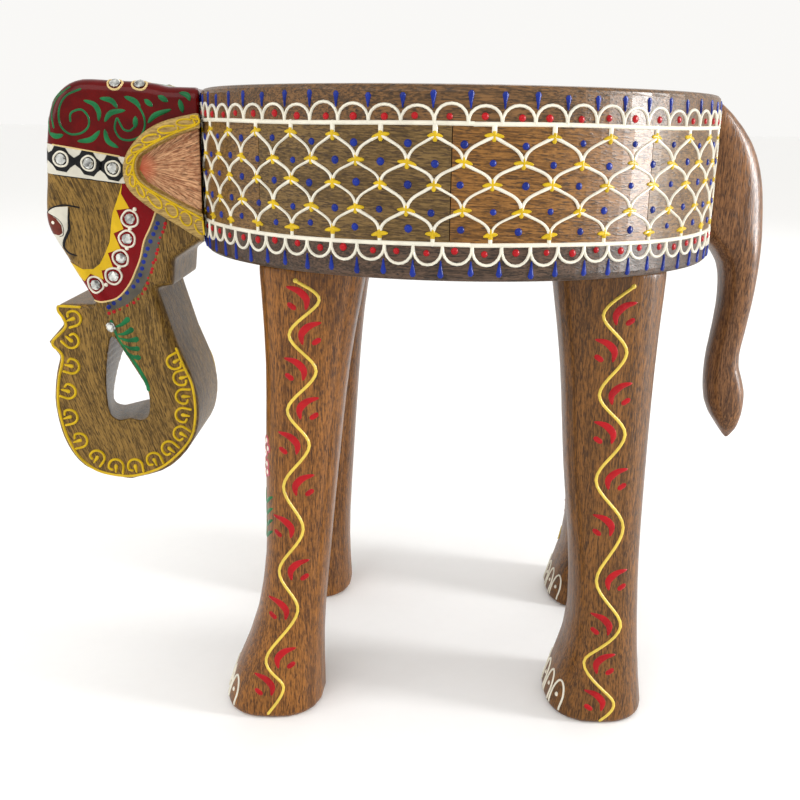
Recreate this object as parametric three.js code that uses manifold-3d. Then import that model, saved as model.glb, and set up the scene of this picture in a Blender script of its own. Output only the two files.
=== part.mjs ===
// A carved elephant stool: a round drum seat on four turned-out legs, with a head, two ears and a
// tail fixed to its wall. Millimetres, +Z up, the head towards -X. The floor is at z = 0.
import * as THREE from 'three';
import { mergeVertices } from 'three/addons/utils/BufferGeometryUtils.js';
import Module from 'manifold-3d';

// ---- Driving dimensions -------------------------------------------------------------------------

// Every glued or screwed face keeps this clearance to its neighbour.
const fitGap = 0.3;

// The seat is a drum: a top board and a base board with a ring of glued blocks between them.
const seatRadius = 130;
const boardThickness = 15;
const ringHeight = 47;
const ringWall = 19;
const blockCount = 9;
const firstJointAngle = -93.7;
const topEdgeRadius = 3;
const baseEdgeRadius = 3;
const seatFacets = 72;

// The legs stand on a circle, each at an angle to the stool's length, so that their nuts lie inside
// the ring. They are carved and set by hand: the right front leg leans back to its foot, and the
// right hind leg stands further out, turned towards the tail, and is slimmer in front.
const legLength = 228;
const legAngle = 43.1;
const nutToRing = 4.8;
const rightFrontLean = 7.5;
const rightHindOut = 3.4;
const rightHindTurn = 7.8;
const rightHindSlimmer = 7;
const footHeight = 45;
const soleEdge = 1.8;
const legRoundness = 2.5;
const legSides = 20;
const legRows = 14;

// A hanger bolt and a tee nut hold each leg.
const boltRadius = 4;
const boltInLeg = 35;
const boltPoint = 7;
const boltPastNut = 5;
const nutFlangeRadius = 11;
const nutFlangeThickness = 1.6;
const nutBarrelWall = 1.5;
const nutBarrelLength = 10;
const roundSides = 12;

// The head is one carved block; its trunk curls back to a loop.
const headWidth = 66;
const headEdge = 5;
const trunkWidth = 59;
const trunkEdge = 2.5;
const holeWidening = 0.72;
const earThickness = 11.7;
const earEdge = 2;
const earRecess = 4.5;
const earBackClearance = 1.4;

// The tail is carved from a board, and its tuft is thinner than its root.
const tailWidth = 31;
const tuftWidth = 24;
const tailRoundness = 2.7;
const tailSides = 16;
const tailRows = 26;

// Pairs of dowels, one above the other, pin the head and the tail to the ring.
const dowelRadius = 5;
const dowelSpacing = 23;
const dowelInHead = 26;
const dowelInTail = 13;

// Small mirrors are glued to the head.
const mirrorRadius = 3.4;
const mirrorHeight = 1.6;
const mirrorSides = 10;

// ---- Sizes that follow from them ----------------------------------------------------------------

const baseTop = legLength + boardThickness;
const ringTop = baseTop + ringHeight;
const drumMiddle = baseTop + ringHeight / 2;
const drumHeight = ringHeight + 2 * boardThickness;
const seatTop = legLength + drumHeight;
const headHalf = headWidth / 2;
const nutBarrelRadius = boltRadius + nutBarrelWall;
const legCircle = seatRadius - ringWall - nutToRing - nutFlangeRadius;

// ---- Shapes into solids -------------------------------------------------------------------------

const wasm = await Module();
wasm.setup();

function solidOf(geometry) {
  const bare = geometry.clone();
  bare.deleteAttribute('normal');
  bare.deleteAttribute('uv');
  const merged = mergeVertices(bare);
  const index = merged.index.array;
  const triangles = [];
  for (let i = 0; i < index.length; i += 3) {
    const [a, b, c] = [index[i], index[i + 1], index[i + 2]];
    // The quads that touch a turned piece's axis fold into a line, and are left out.
    if (a !== b && b !== c && c !== a) triangles.push(a, b, c);
  }
  return new wasm.Manifold(new wasm.Mesh({
    numProp: 3,
    vertProperties: merged.attributes.position.array,
    triVerts: Uint32Array.from(triangles),
  }));
}

function geometryOf(solid) {
  const mesh = solid.getMesh();
  const geometry = new THREE.BufferGeometry();
  geometry.setAttribute('position', new THREE.BufferAttribute(mesh.vertProperties, 3));
  geometry.setIndex(new THREE.BufferAttribute(mesh.triVerts, 1));
  geometry.computeVertexNormals();
  return geometry;
}

function piece(name, solid, finish) {
  const mesh = new THREE.Mesh(geometryOf(solid), new THREE.MeshStandardMaterial(finish));
  mesh.name = name;
  return mesh;
}

function point(x, z) {
  return new THREE.Vector2(x, z);
}

function points(...pairs) {
  return pairs.map(([x, z]) => point(x, z));
}

// A piece turned about +Z from a profile of radius and height.
function turned(profile, sides) {
  const geometry = new THREE.LatheGeometry(profile, sides);
  geometry.rotateX(Math.PI / 2);
  return geometry;
}

// A board sawn to an outline in X and Z, with rounded edges, centred on y = 0.
function sawn(outline, width, edge, curveSegments = 3) {
  const geometry = new THREE.ExtrudeGeometry(outline, {
    depth: width - 2 * edge,
    bevelEnabled: edge > 0,
    bevelThickness: edge,
    bevelSize: edge,
    bevelOffset: -edge,
    bevelSegments: 3,
    curveSegments,
  });
  geometry.translate(0, 0, edge - width / 2);
  geometry.rotateX(Math.PI / 2);
  return geometry;
}

function rod(radius, bottom, top, sides = roundSides) {
  const geometry = new THREE.CylinderGeometry(radius, radius, top - bottom, sides);
  geometry.rotateX(Math.PI / 2);
  geometry.translate(0, 0, (top + bottom) / 2);
  return geometry;
}

// A body carved to follow stations, each a height, a reach to -X, a reach to +X and half a width.
// Its sections lie at the given levels, and are rounder the nearer their power is to 2.
function lofted(stations, levels, sides, power, insetAt = () => 0) {
  const heights = stations.map((station) => station[0]);
  const along = (column) => new THREE.CubicInterpolant(heights, stations.map((s) => s[column]), 1);
  const reaches = [along(1), along(2), along(3)];
  const rows = levels.length - 1;
  const geometry = new THREE.CylinderGeometry(1, 1, 1, sides, rows);
  geometry.rotateX(Math.PI / 2);
  const place = geometry.attributes.position;
  const squared = (value) => Math.sign(value) * Math.abs(value) ** (2 / power);
  for (let i = 0; i < place.count; i += 1) {
    const level = levels[Math.round((place.getZ(i) + 0.5) * rows)];
    const [forward, backward, half] = reaches.map((reach) => reach.evaluate(level)[0] - insetAt(level));
    const middle = (backward - forward) / 2;
    const onAxis = Math.hypot(place.getX(i), place.getY(i)) < 0.5;
    const angle = Math.atan2(place.getY(i), place.getX(i));
    const x = onAxis ? middle : middle + squared(Math.cos(angle)) * (backward + forward) / 2;
    const y = onAxis ? 0 : squared(Math.sin(angle)) * half;
    place.setXYZ(i, x, y, level);
  }
  return solidOf(geometry);
}

// A rod that lies along X, from one x to another, at a height.
function crossRod(radius, from, to, height) {
  const geometry = new THREE.CylinderGeometry(radius, radius, to - from, roundSides);
  geometry.rotateZ(Math.PI / 2);
  geometry.translate((from + to) / 2, 0, height);
  return geometry;
}

// ---- Finishes -----------------------------------------------------------------------------------

const seatWood = { color: 0x8f6a3f, roughness: 0.35, metalness: 0 };
const blockWood = { color: 0xa87444, roughness: 0.35, metalness: 0 };
const legWood = { color: 0xa9763f, roughness: 0.4, metalness: 0 };
const headWood = { color: 0x95703f, roughness: 0.35, metalness: 0 };
const earWood = { color: 0xc79a78, roughness: 0.45, metalness: 0 };
const tailWood = { color: 0x9c6a40, roughness: 0.35, metalness: 0 };
const dowelWood = { color: 0xd2b48c, roughness: 0.7, metalness: 0 };
const zincSteel = { color: 0xb8bcc0, roughness: 0.4, metalness: 1 };
const mirrorGlass = { color: 0xdfe4e6, roughness: 0.08, metalness: 0.6 };

// ---- The seat drum ------------------------------------------------------------------------------

const stool = new THREE.Group();

function quarterRound(centre, radius, fromAngle, steps = 3) {
  const arc = [];
  for (let i = 0; i <= steps; i += 1) {
    const angle = fromAngle + (i / steps) * Math.PI / 2;
    arc.push(point(centre.x + radius * Math.cos(angle), centre.y + radius * Math.sin(angle)));
  }
  return arc;
}

function dowelHeights() {
  return [drumMiddle - dowelSpacing / 2, drumMiddle + dowelSpacing / 2];
}

function legPlaces() {
  const places = [];
  for (const [end, endName] of [[-1, 'front'], [1, 'back']]) {
    for (const [side, sideName] of [[-1, 'left'], [1, 'right']]) {
      const rightFront = end < 0 && side > 0;
      const rightHind = end > 0 && side > 0;
      const angle = THREE.MathUtils.degToRad(legAngle - (rightHind ? rightHindTurn : 0));
      const out = legCircle + (rightHind ? rightHindOut : 0);
      places.push({
        name: `${endName}_${sideName}`,
        front: end < 0,
        x: end * out * Math.cos(angle),
        y: side * out * Math.sin(angle),
        slimmer: rightHind ? rightHindSlimmer : 0,
        lean: rightFront ? rightFrontLean : 0,
      });
    }
  }
  return places;
}

function seatTopBoard() {
  const bottom = ringTop;
  const rim = quarterRound(point(seatRadius - topEdgeRadius, seatTop - topEdgeRadius), topEdgeRadius, 0);
  return solidOf(turned([point(0, bottom), point(seatRadius, bottom), ...rim, point(0, seatTop)], seatFacets));
}

function seatBaseBoard() {
  const corner = point(seatRadius - baseEdgeRadius, legLength + baseEdgeRadius);
  const rim = quarterRound(corner, baseEdgeRadius, -Math.PI / 2);
  const profile = [point(0, legLength), ...rim, point(seatRadius, baseTop), point(0, baseTop)];
  let board = solidOf(turned(profile, seatFacets));
  for (const place of legPlaces()) {
    const boltHole = rod(boltRadius + fitGap, legLength - 1, baseTop + 1);
    const nutHole = rod(nutBarrelRadius + fitGap, baseTop - nutBarrelLength - fitGap, baseTop + 1);
    for (const hole of [boltHole, nutHole]) {
      hole.translate(place.x, place.y, 0);
      board = board.subtract(solidOf(hole));
    }
  }
  return board;
}

function rimBlock(number) {
  const step = 2 * Math.PI / blockCount;
  const glueAngle = fitGap / (2 * (seatRadius - ringWall));
  const start = THREE.MathUtils.degToRad(firstJointAngle) + number * step;
  const outline = new THREE.Shape();
  outline.absarc(0, 0, seatRadius, start + glueAngle, start + step - glueAngle, false);
  outline.absarc(0, 0, seatRadius - ringWall, start + step - glueAngle, start + glueAngle, true);
  const geometry = new THREE.ExtrudeGeometry(outline, {
    depth: ringHeight - 2 * fitGap,
    bevelEnabled: false,
    curveSegments: seatFacets / blockCount,
  });
  geometry.translate(0, 0, baseTop + fitGap);
  let block = solidOf(geometry);
  for (const height of dowelHeights()) {
    const hole = crossRod(dowelRadius + fitGap, -seatRadius - 1, seatRadius + 1, height);
    block = block.subtract(solidOf(hole));
  }
  return block;
}

stool.add(piece('seat_top', seatTopBoard(), seatWood));
stool.add(piece('seat_base', seatBaseBoard(), seatWood));
for (let number = 0; number < blockCount; number += 1) {
  stool.add(piece(`rim_block_${number + 1}`, rimBlock(number), blockWood));
}

// ---- The legs and their fixings -----------------------------------------------------------------

// Each station gives a height, how far the leg reaches to the front and to the back of its
// centre line, and half its width. The foot keeps its height; the shank stretches with the leg.
function evenLegStations(place) {
  const shank = (part) => footHeight + part * (legLength - footHeight);
  if (place.front) {
    return [
      [0, 46.2, 5.6, 28.8],
      [footHeight * 0.2, 44, 5.4, 28.4],
      [footHeight * 0.55, 37.6, 5, 27],
      [footHeight, 30, 5.6, 24],
      [shank(0.2), 24, 8.6, 21.4],
      [shank(0.45), 23.4, 12.8, 20.5],
      [shank(0.75), 22.4, 18.8, 21.5],
      [shank(1), 24.6, 27, 25],
    ];
  }
  return [
    [0, 19.4, 32, 28.8],
    [footHeight * 0.2, 17.4, 30.8, 28.4],
    [footHeight * 0.55, 11.8, 28.6, 27],
    [footHeight, 8, 26.8, 24],
    [shank(0.2), 9.4, 25, 21.4],
    [shank(0.45), 14.8, 24.6, 20.5],
    [shank(0.75), 20, 25, 21.5],
    [shank(1), 27, 26.6, 25],
  ];
}

// A leaning leg moves back more the lower it is; a slimmer one is cut back in front.
function legStations(place) {
  return evenLegStations(place).map(([height, toe, heel, half]) => {
    const back = place.lean * (1 - height / legLength);
    return [height, toe - back - place.slimmer, heel + back, half];
  });
}

function legBlank(stations) {
  const top = legLength - fitGap;
  const levels = [0];
  for (let row = 0; row <= legRows; row += 1) levels.push(soleEdge + (top - soleEdge) * row / legRows);
  return lofted(stations, levels, legSides, legRoundness, (level) => (level === 0 ? soleEdge : 0));
}

function leg(place) {
  const hole = rod(boltRadius + fitGap, legLength - boltInLeg - fitGap, legLength + 1);
  return legBlank(legStations(place)).subtract(solidOf(hole));
}

function hangerBolt() {
  const bottom = legLength - boltInLeg;
  const top = baseTop + fitGap + nutFlangeThickness + boltPastNut;
  const profile = [
    point(0, bottom),
    point(boltRadius * 0.25, bottom),
    point(boltRadius, bottom + boltPoint),
    point(boltRadius, top - boltRadius / 4),
    point(boltRadius * 0.75, top),
    point(0, top),
  ];
  return solidOf(turned(profile, roundSides));
}

function teeNut() {
  const bore = boltRadius + fitGap;
  const flangeBottom = baseTop + fitGap;
  const profile = points(
    [bore, baseTop - nutBarrelLength],
    [nutBarrelRadius, baseTop - nutBarrelLength],
    [nutBarrelRadius, flangeBottom],
    [nutFlangeRadius, flangeBottom],
    [nutFlangeRadius, flangeBottom + nutFlangeThickness],
    [bore, flangeBottom + nutFlangeThickness],
    [bore, baseTop - nutBarrelLength],
  );
  return solidOf(turned(profile, roundSides));
}

for (const place of legPlaces()) {
  const corner = new THREE.Group();
  corner.position.set(place.x, place.y, 0);
  corner.add(piece(`leg_${place.name}`, leg(place), legWood));
  corner.add(piece(`leg_bolt_${place.name}`, hangerBolt(), zincSteel));
  corner.add(piece(`leg_nut_${place.name}`, teeNut(), zincSteel));
  stool.add(corner);
}

// ---- The head and the trunk ---------------------------------------------------------------------

// The head's own frame has its origin on the drum's wall, half-way up the drum.
const headPlace = new THREE.Vector3(-seatRadius, 0, drumMiddle);
const head = new THREE.Group();
head.position.copy(headPlace);
stool.add(head);

const trunkTopHeight = -70;
const trunkLoopHeight = -118;

function headOutline() {
  const outline = new THREE.Shape(points([8, 38.6], [-12, 38.8]));
  outline.splineThru(points([-21, 40.6], [-40, 41.4], [-54.5, 41.4], [-63.8, 36.4], [-69.4, 27.4], [-72.2, 12]));
  outline.splineThru(points([-73.6, -6], [-75, -20], [-73.8, -30], [-66.6, -43.6], [-54.4, -65.4]));
  outline.lineTo(-43.6, -88);
  outline.lineTo(-31.4, -110.4);
  outline.lineTo(-30, -122);
  outline.lineTo(-6, -122);
  outline.splineThru(points([-6, -110], [-13.7, -89.8], [-22, -59]));
  outline.lineTo(-13.4, -57.5);
  outline.lineTo(-12.2, -44.5);
  outline.lineTo(1, -35.5);
  outline.lineTo(8, -35.5);
  outline.closePath();
  return outline;
}

// The trunk narrows below the jaw until it sinks into the loop.
function narrowTrunk(geometry) {
  const place = geometry.attributes.position;
  for (let i = 0; i < place.count; i += 1) {
    const part = THREE.MathUtils.smoothstep(-place.getZ(i), -trunkTopHeight, -trunkLoopHeight);
    place.setY(i, place.getY(i) * THREE.MathUtils.lerp(1, trunkWidth / headWidth - 0.02, part));
  }
  return geometry;
}

function trunkOutline() {
  const outline = new THREE.Shape(points([-46, -60], [-54, -68.2], [-72.6, -68.4]));
  outline.lineTo(-75, -71);
  outline.lineTo(-71.2, -78.8);
  outline.lineTo(-80, -88.4);
  outline.lineTo(-74.6, -96);
  outline.splineThru(points([-77.8, -108], [-79, -124], [-74.8, -143.6], [-64, -157.6], [-42, -163.4]));
  outline.splineThru(points([-21.4, -156.8], [-7.4, -141.6], [-3.4, -124], [-6.2, -106.6], [-12.8, -89.4]));
  outline.lineTo(-21, -62);
  outline.closePath();
  return outline;
}

const holeTop = new THREE.Vector2(-45.7, -84.3);
const slantFoot = new THREE.Vector2(-31.6, -108.6);

function trunkHole() {
  const outline = new THREE.Shape([holeTop, ...points([-47.6, -86])]);
  outline.splineThru(points([-50, -100], [-50.8, -114], [-49.6, -126.6], [-45, -130.1]));
  outline.lineTo(-34, -130.1);
  outline.splineThru([...points([-30, -127], [-29.2, -116.4]), slantFoot]);
  outline.closePath();
  return outline;
}

// The hole widens towards the right side, away from its slanting edge.
function widened(geometry) {
  const place = geometry.attributes.position;
  const slant = slantFoot.clone().sub(holeTop).normalize();
  const away = new THREE.Vector2(slant.y, -slant.x);
  for (let i = 0; i < place.count; i += 1) {
    const spot = new THREE.Vector2(place.getX(i), place.getZ(i));
    const part = 0.5 + place.getY(i) / trunkWidth;
    spot.addScaledVector(away, spot.clone().sub(holeTop).dot(away) * holeWidening * part);
    place.setX(i, spot.x);
    place.setZ(i, spot.y);
  }
  return geometry;
}

function drumCut(radius) {
  const geometry = rod(radius, -2 * drumHeight, 2 * drumHeight, seatFacets);
  geometry.translate(seatRadius, 0, 0);
  return solidOf(geometry);
}

function carvedHead() {
  const block = solidOf(narrowTrunk(sawn(headOutline(), headWidth, headEdge)));
  const loop = solidOf(sawn(trunkOutline(), trunkWidth, trunkEdge));
  const hole = solidOf(widened(sawn(trunkHole(), 2 * headWidth, 0)));
  let carved = block.add(loop).subtract(hole);
  carved = carved.subtract(drumCut(seatRadius + fitGap));
  for (const height of dowelHeights()) {
    const depth = dowelInHead + fitGap;
    carved = carved.subtract(solidOf(crossRod(dowelRadius + fitGap, -depth, 2, height - drumMiddle)));
  }
  return carved;
}

head.add(piece('head', carvedHead(), headWood));

// ---- The ears -----------------------------------------------------------------------------------

function earOutline() {
  const outline = new THREE.Shape(points([12, 26.4], [4.3, 26.8]));
  outline.splineThru(points([-10.9, 23.1], [-22, 17], [-30, 7.4], [-32, -2.4], [-28.6, -10.6], [-18, -19.4]));
  outline.splineThru(points([-4, -27.8], [8, -35.4]));
  outline.lineTo(12, -34);
  outline.closePath();
  return outline;
}

function earHollow() {
  const outline = new THREE.Shape(points([20, 24], [-4.3, 16.7]));
  outline.splineThru(points([-15.6, 11.4], [-23, 6.6], [-24.6, 0], [-21, -6], [-8, -13.4], [8.7, -21.2]));
  outline.lineTo(20, -26);
  outline.closePath();
  return outline;
}

function ear(side) {
  const hollow = sawn(earHollow(), 2 * earRecess, 0);
  hollow.translate(0, side * earThickness / 2, 0);
  const centre = headHalf + fitGap + earThickness / 2;
  const cut = drumCut(seatRadius + earBackClearance);
  return solidOf(sawn(earOutline(), earThickness, earEdge))
    .subtract(solidOf(hollow))
    .translate([0, side * centre, 0])
    .subtract(cut);
}

head.add(piece('ear_left', ear(-1), earWood));
head.add(piece('ear_right', ear(1), earWood));

// ---- The mirrors --------------------------------------------------------------------------------

function mirror() {
  const profile = points(
    [0, 0],
    [mirrorRadius, 0],
    [mirrorRadius, mirrorHeight * 0.4],
    [mirrorRadius * 0.7, mirrorHeight],
    [0, mirrorHeight],
  );
  return solidOf(turned(profile, mirrorSides));
}

// Sets a mirror's flat back a fit gap off the wood, facing a direction.
function setMirror(name, x, y, z, facing) {
  const glass = piece(name, mirror(), mirrorGlass);
  glass.quaternion.setFromUnitVectors(new THREE.Vector3(0, 0, 1), facing);
  glass.position.set(x, y, z).addScaledVector(facing, fitGap);
  head.add(glass);
}

const browMirrors = [[-64.7, 4.2], [-51.4, 2.4], [-39.4, 0.2]];
const cheekMirrors = [[-32.6, -24.1], [-34.6, -34], [-38.3, -43.7], [-42.6, -52.9], [-51.6, -57.2]];
const trunkMirror = [-46.2, -79.4];
const crownMirrors = [-36.4, -24.6];
const crownMiddleBack = 6;
const crownHeight = 41.6;
const foreheadMirrors = [-14, 0, 14];
const foreheadPlace = [-73, 5.6];

for (const [side, sideName] of [[-1, 'left'], [1, 'right']]) {
  const outward = new THREE.Vector3(0, side, 0);
  browMirrors.forEach(([x, z], i) => {
    setMirror(`mirror_brow_${sideName}_${i + 1}`, x, side * headHalf, z, outward);
  });
  cheekMirrors.forEach(([x, z], i) => {
    setMirror(`mirror_cheek_${sideName}_${i + 1}`, x, side * headHalf, z, outward);
  });
  setMirror(`mirror_trunk_${sideName}`, trunkMirror[0], side * headHalf, trunkMirror[1], outward);
  // On the rounded shoulder of the crown the mirrors lean outwards.
  const shoulder = headEdge * (1 - Math.SQRT1_2);
  crownMirrors.forEach((x, i) => {
    const leaning = new THREE.Vector3(0, side, 1).normalize();
    const [y, z] = [side * (headHalf - shoulder), crownHeight - shoulder];
    setMirror(`mirror_crown_${sideName}_${i + 1}`, x, y, z, leaning);
  });
}
crownMirrors.forEach((x, i) => {
  setMirror(`mirror_crown_middle_${i + 1}`, x - crownMiddleBack, 0, crownHeight, new THREE.Vector3(0, 0, 1));
});
foreheadMirrors.forEach((y, i) => {
  const forward = new THREE.Vector3(-1, 0, 0.08).normalize();
  setMirror(`mirror_brow_front_${i + 1}`, foreheadPlace[0], y, foreheadPlace[1], forward);
});

// ---- The tail -----------------------------------------------------------------------------------

const tail = new THREE.Group();
tail.position.set(seatRadius, 0, drumMiddle);
stool.add(tail);

// The reach to -X is negative where the tail's inner edge stands clear of the wall.
function tailStations() {
  const [root, tuft] = [tailWidth / 2, tuftWidth / 2];
  return [
    [-143, -25, 27.2, 1.2],
    [-137, -20.8, 29.8, tuft * 0.62],
    [-126, -13.6, 32.2, tuft * 0.95],
    [-114, -10.9, 32, tuft],
    [-99, -10.6, 27.2, tuft * 0.94],
    [-80, -12.8, 29, tuft * 0.98],
    [-62, -14.2, 30.8, root * 0.88],
    [-45, -11.6, 31.8, root * 0.95],
    [-36, -5, 32, root],
    [-24, 8, 31.8, root],
    [2, 8, 27.8, root],
    [18, 8, 20.8, root],
    [30, 8, 10.6, root * 0.98],
    [36, 8, 3.8, root * 0.9],
    [38, 8, 1.4, root * 0.78],
  ];
}

function carvedTail() {
  const stations = tailStations();
  const [tip, crown] = [stations[0][0], stations.at(-1)[0]];
  const levels = [];
  for (let row = 0; row <= tailRows; row += 1) levels.push(tip + (crown - tip) * row / tailRows);
  const wall = rod(seatRadius + fitGap, -2 * drumHeight, 2 * drumHeight, seatFacets);
  wall.translate(-seatRadius, 0, 0);
  let carved = lofted(stations, levels, tailSides, tailRoundness).subtract(solidOf(wall));
  for (const height of dowelHeights()) {
    const hole = crossRod(dowelRadius + fitGap, -2, dowelInTail + fitGap, height - drumMiddle);
    carved = carved.subtract(solidOf(hole));
  }
  return carved;
}

tail.add(piece('tail', carvedTail(), tailWood));

// ---- The dowels ---------------------------------------------------------------------------------

dowelHeights().forEach((height, i) => {
  const level = ['lower', 'upper'][i];
  const wallInside = seatRadius - ringWall;
  const headDowel = crossRod(dowelRadius, -seatRadius - dowelInHead, -wallInside, height);
  const tailDowel = crossRod(dowelRadius, wallInside, seatRadius + dowelInTail, height);
  stool.add(piece(`head_dowel_${level}`, solidOf(headDowel), dowelWood));
  stool.add(piece(`tail_dowel_${level}`, solidOf(tailDowel), dowelWood));
});

// ---- The origin: on the floor, below the middle of the whole length ------------------------------

const extent = new THREE.Box3().setFromObject(stool);
stool.position.x = -(extent.min.x + extent.max.x) / 2;

const elephant = new THREE.Group();
elephant.add(stool);

export default elephant;
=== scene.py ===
"""A hand-painted wooden elephant stool: a drum seat on four legs, with a carved head, ears and tail."""

import math
import random

import bmesh
import bpy
from mathutils import Matrix, Vector, noise
from mathutils.bvhtree import BVHTree


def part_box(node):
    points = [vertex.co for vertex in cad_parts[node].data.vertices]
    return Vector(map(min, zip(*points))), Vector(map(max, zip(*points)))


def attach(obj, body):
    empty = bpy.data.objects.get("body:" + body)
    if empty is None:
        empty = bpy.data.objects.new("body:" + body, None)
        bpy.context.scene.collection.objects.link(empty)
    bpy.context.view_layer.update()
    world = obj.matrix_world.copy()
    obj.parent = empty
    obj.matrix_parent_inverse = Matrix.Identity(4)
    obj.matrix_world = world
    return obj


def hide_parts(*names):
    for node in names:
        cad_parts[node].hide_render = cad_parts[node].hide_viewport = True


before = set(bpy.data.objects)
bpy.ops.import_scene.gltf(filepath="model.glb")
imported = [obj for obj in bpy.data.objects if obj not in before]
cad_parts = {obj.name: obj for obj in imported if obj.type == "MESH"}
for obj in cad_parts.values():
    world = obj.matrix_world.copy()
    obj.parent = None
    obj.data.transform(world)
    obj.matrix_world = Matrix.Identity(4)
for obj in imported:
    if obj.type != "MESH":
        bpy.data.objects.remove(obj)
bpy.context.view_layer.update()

# ---- The seat's top board ------------------------------------------------------------------------
# A round board of mango wood, planed, rounded at its rim and varnished. It is glued on the ring of
# blocks. The meshes are worked in millimetres and shrunk to metres when a piece is made.
mm = 0.001
paint_room = 0.9


def in_mm(node):
    return [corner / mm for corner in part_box(node)]


def cad_shape(node):
    shape = bmesh.new()
    shape.from_mesh(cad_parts[node].data)
    bmesh.ops.scale(shape, vec=(1 / mm,) * 3, verts=shape.verts)
    return shape


def make(name, shape, material, grain=None, sharp=40):
    if grain:
        layer = shape.verts.layers.float_vector.new("grain")
        for vert in shape.verts:
            vert[layer] = grain(vert.co)
    bmesh.ops.recalc_face_normals(shape, faces=shape.faces)
    bmesh.ops.scale(shape, vec=(mm,) * 3, verts=shape.verts)
    mesh = bpy.data.meshes.new(name)
    shape.to_mesh(mesh)
    shape.free()
    mesh.shade_smooth()
    mesh.set_sharp_from_angle(angle=math.radians(sharp))
    mesh.materials.append(material)
    made = bpy.data.objects.new(name, mesh)
    bpy.context.scene.collection.objects.link(made)
    return made


def add(tree, kind, inputs, **settings):
    made = tree.nodes.new(kind)
    for name, value in settings.items():
        setattr(made, name, value)
    for key, value in inputs.items():
        if isinstance(value, bpy.types.NodeSocket):
            tree.links.new(value, made.inputs[key])
        else:
            made.inputs[key].default_value = value
    return made


def stretched_noise(tree, vector, along, across, detail, distortion=0.0):
    scales = {0: vector, 1: (along, across, across)}
    scaled = add(tree, "ShaderNodeVectorMath", scales, operation="MULTIPLY").outputs[0]
    inputs = {"Vector": scaled, "Scale": 1.0, "Detail": detail, "Distortion": distortion}
    return add(tree, "ShaderNodeTexNoise", inputs).outputs[0]


def ranged(tree, value, low, high):
    inputs = {"Value": value, "From Min": low, "From Max": high}
    return add(tree, "ShaderNodeMapRange", inputs, clamp=True).outputs[0]


def mixed(tree, factor, first, second):
    inputs = {0: factor, 6: first, 7: second}
    return add(tree, "ShaderNodeMix", inputs, data_type="RGBA").outputs[2]


# Wood runs along the first of its grain coordinates: wide bands, fine streaks, fibres and short dark
# pores. Each noise is given its scale along and across the grain, in waves per millimetre.
def wood_grain_group():
    tree = bpy.data.node_groups.new("Wood grain", "ShaderNodeTree")
    for name in ("Pale", "Dark", "Pore"):
        tree.interface.new_socket(name, in_out="INPUT", socket_type="NodeSocketColor")
    for name, kind in (("Color", "Color"), ("Roughness", "Float"), ("Height", "Float")):
        tree.interface.new_socket(name, in_out="OUTPUT", socket_type=f"NodeSocket{kind}")
    given = tree.nodes.new("NodeGroupInput").outputs
    grain = add(tree, "ShaderNodeAttribute", {}, attribute_name="grain").outputs["Vector"]
    bands = stretched_noise(tree, grain, 0.008, 0.08, 3.0, 2.2)
    streaks = stretched_noise(tree, grain, 0.035, 0.85, 5.0, 0.4)
    mottle = stretched_noise(tree, grain, 0.5, 0.9, 4.0, 0.6)
    fibres = stretched_noise(tree, grain, 0.16, 1.7, 3.0, 0.5)
    pores = ranged(tree, stretched_noise(tree, grain, 0.24, 1.5, 2.0), 0.53, 0.66)
    tone = mixed(tree, 0.5, bands, streaks)
    tone = mixed(tree, 0.3, tone, mottle)
    tone = mixed(tree, 0.4, tone, fibres)
    base = mixed(tree, ranged(tree, tone, 0.44, 0.56), given["Dark"], given["Pale"])
    worn = add(tree, "ShaderNodeMath", {0: pores, 1: 0.85}, operation="MULTIPLY").outputs[0]
    colour = mixed(tree, worn, base, given["Pore"])
    rough = add(tree, "ShaderNodeMath", {0: streaks, 1: 0.25, 2: 0.26}, operation="MULTIPLY_ADD").outputs[0]
    height = add(tree, "ShaderNodeMath", {0: pores, 1: -0.7, 2: streaks}, operation="MULTIPLY_ADD").outputs[0]
    out = tree.nodes.new("NodeGroupOutput")
    for key, value in (("Color", colour), ("Roughness", rough), ("Height", height)):
        tree.links.new(value, out.inputs[key])
    return tree


wood_grain = wood_grain_group()


def wood(name, pale, dark, pore, gloss=0.14):
    material = bpy.data.materials.new(name)
    material.use_nodes = True
    tree = material.node_tree
    shader = tree.nodes["Principled BSDF"]
    grain = tree.nodes.new("ShaderNodeGroup")
    grain.node_tree = wood_grain
    for key, colour in (("Pale", pale), ("Dark", dark), ("Pore", pore)):
        grain.inputs[key].default_value = (*colour, 1)
    relief = {"Height": grain.outputs["Height"], "Strength": 0.25, "Distance": 0.0004}
    bump = add(tree, "ShaderNodeBump", relief)
    tree.links.new(grain.outputs["Color"], shader.inputs["Base Color"])
    tree.links.new(grain.outputs["Roughness"], shader.inputs["Roughness"])
    tree.links.new(bump.outputs[0], shader.inputs["Normal"])
    shader.inputs["Specular IOR Level"].default_value = 0.2
    shader.inputs["Coat Weight"].default_value = gloss
    shader.inputs["Coat Roughness"].default_value = 0.12
    return material


board_low, board_high = in_mm("seat_top")
drum_x = (board_low.x + board_high.x) / 2
seat_radius = (board_high.x - board_low.x) / 2
wall_radius = seat_radius - paint_room
outside_depth, rim_slack, level_slack = 5, 0.3, 0.01


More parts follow.
